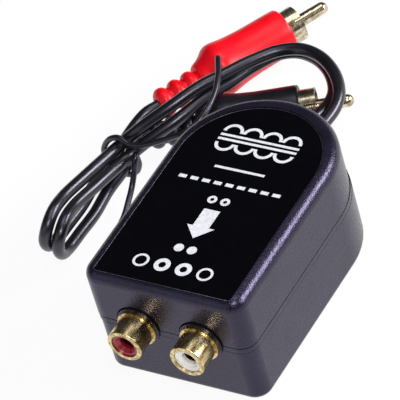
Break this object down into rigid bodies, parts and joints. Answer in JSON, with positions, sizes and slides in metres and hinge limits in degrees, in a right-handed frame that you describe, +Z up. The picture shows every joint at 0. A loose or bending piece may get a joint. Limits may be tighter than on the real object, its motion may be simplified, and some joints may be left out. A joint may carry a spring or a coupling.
{
  "type": "ground loop isolator",
  "caption": "Black plastic ground loop isolator for audio leads: round-ended box with two phono jacks and a twin lead with two phono plugs.",
  "frame": {"origin": "middle of the housing's underside, on the surface that it stands on", "axes": "+Z up; the two jacks look along -Y and the lead leaves at +Y; the white jack is at +X and the red one at -X"},
  "size_m": [0.0747, 0.1274, 0.031],
  "materials": {
    "case_plastic": "satin",
    "label_film": "gloss",
    "print_white": "matte",
    "zinc_steel": "satin",
    "gold_plate": "polished",
    "insert_red": "gloss",
    "insert_white": "gloss",
    "brass_nut": "satin",
    "tinned": "satin",
    "board": "satin",
    "core_steel": "satin",
    "bobbin_nylon": "satin",
    "winding_tape": "satin",
    "wire_red": "satin",
    "wire_white": "satin",
    "wire_black": "satin",
    "lead_pvc": "gloss",
    "plug_pvc_red": "gloss",
    "plug_pvc_black": "gloss",
    "tie_pvc": "satin"
  },
  "bodies": {
    "root": {"top_shell": "case_plastic", "bottom_shell": "case_plastic", "label": "label_film", "label_print": "print_white", "case_screws": "zinc_steel", "jack_shell_red": "gold_plate", "jack_shell_white": "gold_plate", "jack_insert_red": "insert_red", "jack_insert_white": "insert_white", "jack_contact_red": "gold_plate", "jack_contact_white": "gold_plate", "jack_nuts": "brass_nut", "ground_tags": "tinned", "circuit_board": "board", "core_left": "core_steel", "core_right": "core_steel", "bobbin_left": "bobbin_nylon", "bobbin_right": "bobbin_nylon", "winding_left": "winding_tape", "winding_right": "winding_tape", "coil_pins": "tinned", "signal_wire_red": "wire_red", "signal_wire_white": "wire_white", "ground_wires": "wire_black", "lead_cores": "wire_white", "grommet": "lead_pvc", "strain_tie": "bobbin_nylon", "lead_red": "lead_pvc", "lead_black": "lead_pvc", "plug_sleeve_red": "plug_pvc_red", "plug_sleeve_black": "plug_pvc_black", "plug_shell_red": "gold_plate", "plug_shell_black": "gold_plate", "plug_insulator_red": "bobbin_nylon", "plug_insulator_black": "bobbin_nylon", "plug_pin_red": "gold_plate", "plug_pin_black": "gold_plate", "twist_tie": "tie_pvc"}
  },
  "joints": []
}
